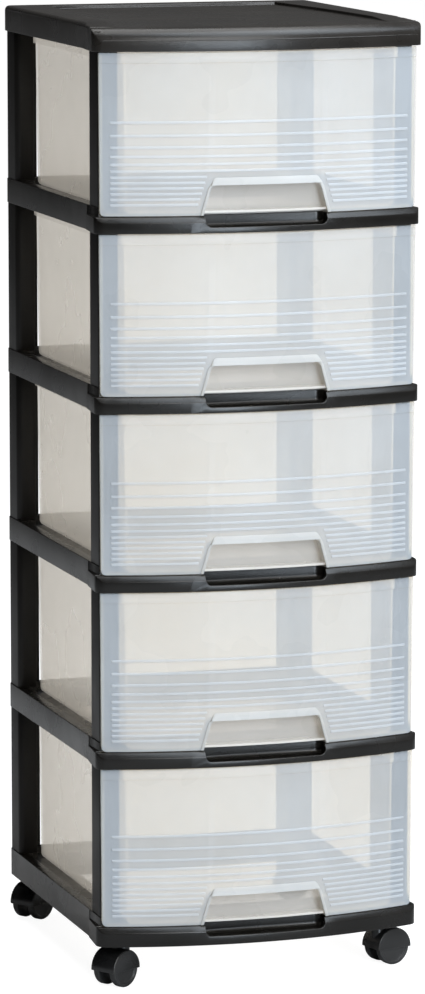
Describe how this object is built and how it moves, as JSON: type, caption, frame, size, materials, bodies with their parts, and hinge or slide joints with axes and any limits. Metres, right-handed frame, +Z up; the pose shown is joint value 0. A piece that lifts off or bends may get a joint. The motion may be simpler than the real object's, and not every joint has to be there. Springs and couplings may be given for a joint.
{
  "type": "drawer tower",
  "caption": "Tall narrow drawer tower of stacked black plastic trays with bow-fronted translucent sliding drawers, on swivelling twin-wheel castors.",
  "frame": {"origin": "on the floor under the middle of the tower's bounding box", "axes": "+Z up, the drawers open towards -Y, +X to the right seen from the front"},
  "size_m": [0.3288, 0.364, 0.931],
  "materials": {
    "black_shell": "moulded black polypropylene with a satin grain",
    "black_upright": "moulded black polypropylene",
    "drawer_clear": "milky translucent polypropylene",
    "castor_black": "black nylon",
    "castor_wheel": "black nylon, slightly worn treads",
    "castor_steel": "zinc plated"
  },
  "bodies": {
    "frame": {"top_cover": "black_shell", "tray_1": "black_shell", "tray_2": "black_shell", "tray_3": "black_shell", "tray_4": "black_shell", "tray_5": "black_shell", "upright_1_front_left": "black_upright", "upright_1_front_right": "black_upright", "upright_1_back_left": "black_upright", "upright_1_back_right": "black_upright", "upright_2_front_left": "black_upright", "upright_2_front_right": "black_upright", "upright_2_back_left": "black_upright", "upright_2_back_right": "black_upright", "upright_3_front_left": "black_upright", "upright_3_front_right": "black_upright", "upright_3_back_left": "black_upright", "upright_3_back_right": "black_upright", "upright_4_front_left": "black_upright", "upright_4_front_right": "black_upright", "upright_4_back_left": "black_upright", "upright_4_back_right": "black_upright", "upright_5_front_left": "black_upright", "upright_5_front_right": "black_upright", "upright_5_back_left": "black_upright", "upright_5_back_right": "black_upright", "castor_front_left_stem": "castor_steel", "castor_front_right_stem": "castor_steel", "castor_back_left_stem": "castor_steel", "castor_back_right_stem": "castor_steel"},
    "drawer_1": {"drawer_1": "drawer_clear"},
    "drawer_2": {"drawer_2": "drawer_clear"},
    "drawer_3": {"drawer_3": "drawer_clear"},
    "drawer_4": {"drawer_4": "drawer_clear"},
    "drawer_5": {"drawer_5": "drawer_clear"},
    "castor_front_left": {"castor_front_left_hood": "castor_black", "castor_front_left_axle": "castor_steel"},
    "castor_front_left_wheel_a": {"castor_front_left_wheel_a": "castor_wheel"},
    "castor_front_left_wheel_b": {"castor_front_left_wheel_b": "castor_wheel"},
    "castor_front_right": {"castor_front_right_hood": "castor_black", "castor_front_right_axle": "castor_steel"},
    "castor_front_right_wheel_a": {"castor_front_right_wheel_a": "castor_wheel"},
    "castor_front_right_wheel_b": {"castor_front_right_wheel_b": "castor_wheel"},
    "castor_back_left": {"castor_back_left_hood": "castor_black", "castor_back_left_axle": "castor_steel"},
    "castor_back_left_wheel_a": {"castor_back_left_wheel_a": "castor_wheel"},
    "castor_back_left_wheel_b": {"castor_back_left_wheel_b": "castor_wheel"},
    "castor_back_right": {"castor_back_right_hood": "castor_black", "castor_back_right_axle": "castor_steel"},
    "castor_back_right_wheel_a": {"castor_back_right_wheel_a": "castor_wheel"},
    "castor_back_right_wheel_b": {"castor_back_right_wheel_b": "castor_wheel"}
  },
  "joints": [
    {"name": "drawer_1_slide", "type": "slide", "parent": "frame", "child": "drawer_1", "axis": [0, -1, 0], "range_m": [0, 0.24]},
    {"name": "drawer_2_slide", "type": "slide", "parent": "frame", "child": "drawer_2", "axis": [0, -1, 0], "range_m": [0, 0.24]},
    {"name": "drawer_3_slide", "type": "slide", "parent": "frame", "child": "drawer_3", "axis": [0, -1, 0], "range_m": [0, 0.24]},
    {"name": "drawer_4_slide", "type": "slide", "parent": "frame", "child": "drawer_4", "axis": [0, -1, 0], "range_m": [0, 0.24]},
    {"name": "drawer_5_slide", "type": "slide", "parent": "frame", "child": "drawer_5", "axis": [0, -1, 0], "range_m": [0, 0.24]},
    {"name": "castor_front_left_swivel", "type": "hinge", "parent": "frame", "child": "castor_front_left", "pos_m": [-0.131, -0.131, 0.036], "axis": [0, 0, 1], "continuous": true},
    {"name": "castor_front_left_wheel_a_spin", "type": "hinge", "parent": "castor_front_left", "child": "castor_front_left_wheel_a", "pos_m": [-0.14023, -0.13699, 0.0175], "axis": [0.5446, -0.8387, 0], "continuous": true},
    {"name": "castor_front_left_wheel_b_spin", "type": "hinge", "parent": "castor_front_left", "child": "castor_front_left_wheel_b", "pos_m": [-0.14023, -0.13699, 0.0175], "axis": [0.5446, -0.8387, 0], "continuous": true},
    {"name": "castor_front_right_swivel", "type": "hinge", "parent": "frame", "child": "castor_front_right", "pos_m": [0.131, -0.131, 0.036], "axis": [0, 0, 1], "continuous": true},
    {"name": "castor_front_right_wheel_a_spin", "type": "hinge", "parent": "castor_front_right", "child": "castor_front_right_wheel_a", "pos_m": [0.14157, -0.12797, 0.0175], "axis": [-0.2756, 0.9613, 0], "continuous": true},
    {"name": "castor_front_right_wheel_b_spin", "type": "hinge", "parent": "castor_front_right", "child": "castor_front_right_wheel_b", "pos_m": [0.14157, -0.12797, 0.0175], "axis": [-0.2756, 0.9613, 0], "continuous": true},
    {"name": "castor_back_left_swivel", "type": "hinge", "parent": "frame", "child": "castor_back_left", "pos_m": [-0.131, 0.165, 0.036], "axis": [0, 0, 1], "continuous": true},
    {"name": "castor_back_left_wheel_a_spin", "type": "hinge", "parent": "castor_back_left", "child": "castor_back_left_wheel_a", "pos_m": [-0.14001, 0.15869, 0.0175], "axis": [0.5736, -0.8192, 0], "continuous": true},
    {"name": "castor_back_left_wheel_b_spin", "type": "hinge", "parent": "castor_back_left", "child": "castor_back_left_wheel_b", "pos_m": [-0.14001, 0.15869, 0.0175], "axis": [0.5736, -0.8192, 0], "continuous": true},
    {"name": "castor_back_right_swivel", "type": "hinge", "parent": "frame", "child": "castor_back_right", "pos_m": [0.131, 0.165, 0.036], "axis": [0, 0, 1], "continuous": true},
    {"name": "castor_back_right_wheel_a_spin", "type": "hinge", "parent": "castor_back_right", "child": "castor_back_right_wheel_a", "pos_m": [0.14071, 0.15984, 0.0175], "axis": [0.4695, 0.8829, 0], "continuous": true},
    {"name": "castor_back_right_wheel_b_spin", "type": "hinge", "parent": "castor_back_right", "child": "castor_back_right_wheel_b", "pos_m": [0.14071, 0.15984, 0.0175], "axis": [0.4695, 0.8829, 0], "continuous": true}
  ]
}
